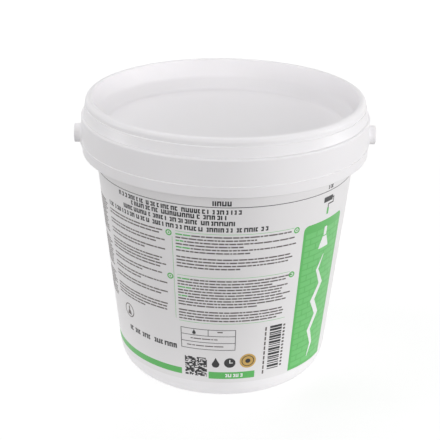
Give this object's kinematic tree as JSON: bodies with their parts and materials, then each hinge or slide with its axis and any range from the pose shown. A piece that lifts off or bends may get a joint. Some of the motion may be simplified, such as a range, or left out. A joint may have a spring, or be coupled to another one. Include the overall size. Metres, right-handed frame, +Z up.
{
  "type": "wall filler tub",
  "caption": "Round tapered plastic tub of wall filler with a press-on recessed lid, a hanging collar with bare handle studs and a printed wrap label.",
  "frame": {"origin": "centre of the underside of the standing ring, on the surface the tub stands on", "axes": "+Z up along the axis of the tub, +X out of one handle stud, -Y towards the pictured front"},
  "size_m": [0.1394, 0.1326, 0.1334],
  "materials": {
    "tub_plastic": "satin moulded polypropylene",
    "lid_plastic": "satin moulded polypropylene",
    "label_film": "printed satin film",
    "paste": "matte paste"
  },
  "bodies": {
    "tub": {"tub": "tub_plastic", "label": "label_film", "filler_paste": "paste"},
    "lid": {"lid": "lid_plastic"}
  },
  "joints": [
    {"name": "lid_lift", "type": "slide", "parent": "tub", "child": "lid", "axis": [0, 0, 1], "range_m": [0, 0.06]}
  ]
}
